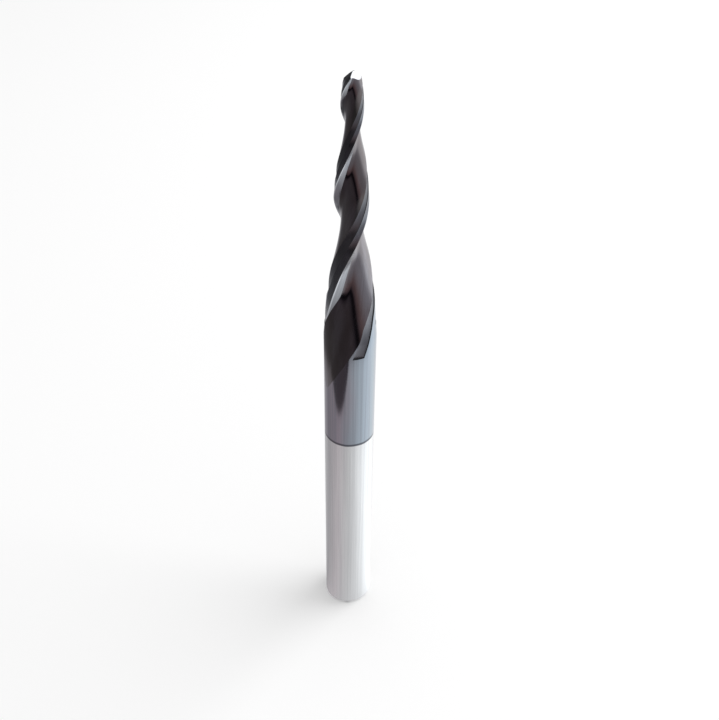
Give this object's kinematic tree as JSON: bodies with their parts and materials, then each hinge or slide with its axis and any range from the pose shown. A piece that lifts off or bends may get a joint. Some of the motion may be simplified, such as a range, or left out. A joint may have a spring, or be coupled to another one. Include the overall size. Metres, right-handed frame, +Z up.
{
  "type": "tapered ball nose milling cutter",
  "caption": "Solid carbide milling cutter with a slender tapered fluted nose, a small ball tip and a plain round shank.",
  "frame": {"origin": "centre of the shank's flat end face, which the cutter stands on", "axes": "+Z up the axis to the ball tip; +X and +Y across the shank, with the cutting edge's turn set by the picture"},
  "size_m": [0.006, 0.006, 0.075],
  "materials": {
    "coated_carbide": "ground; dark blue-grey nitride coat from the tip down to 45.3 mm, bright bare carbide below"
  },
  "bodies": {
    "root": {"tapered_ball_nose_cutter": "coated_carbide"}
  },
  "joints": []
}
